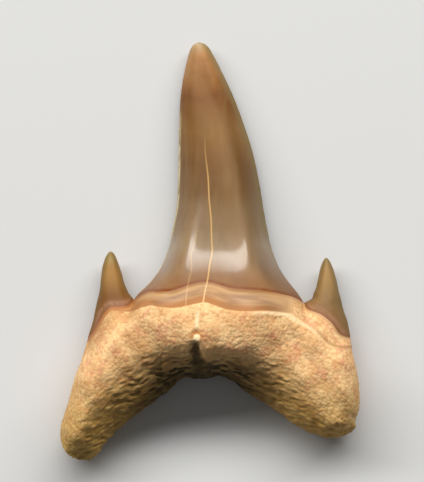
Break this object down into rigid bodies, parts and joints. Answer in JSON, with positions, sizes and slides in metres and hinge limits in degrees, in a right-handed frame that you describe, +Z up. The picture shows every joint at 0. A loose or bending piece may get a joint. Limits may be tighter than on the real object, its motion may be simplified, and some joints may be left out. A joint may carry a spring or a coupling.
{
  "type": "fossil shark tooth",
  "caption": "Fossil shark tooth: tall pointed main cusp, a small cusp at each side, and a broad two-lobed root with a deep arch between the lobes.",
  "frame": {"origin": "middle of the bounding box's lowest face, on the surface that the tooth lies on", "axes": "+Y to the tip of the main cusp, +X to the right seen from above, +Z up, from the flat labial face to the rounded lingual one"},
  "size_m": [0.0128, 0.0178, 0.0043],
  "materials": {
    "tooth": "mineralised tooth: glossy grey-brown enamel on the crown, half-matt tan neck, matt finely granular ochre root"
  },
  "bodies": {
    "root": {"tooth": "tooth"}
  },
  "joints": []
}
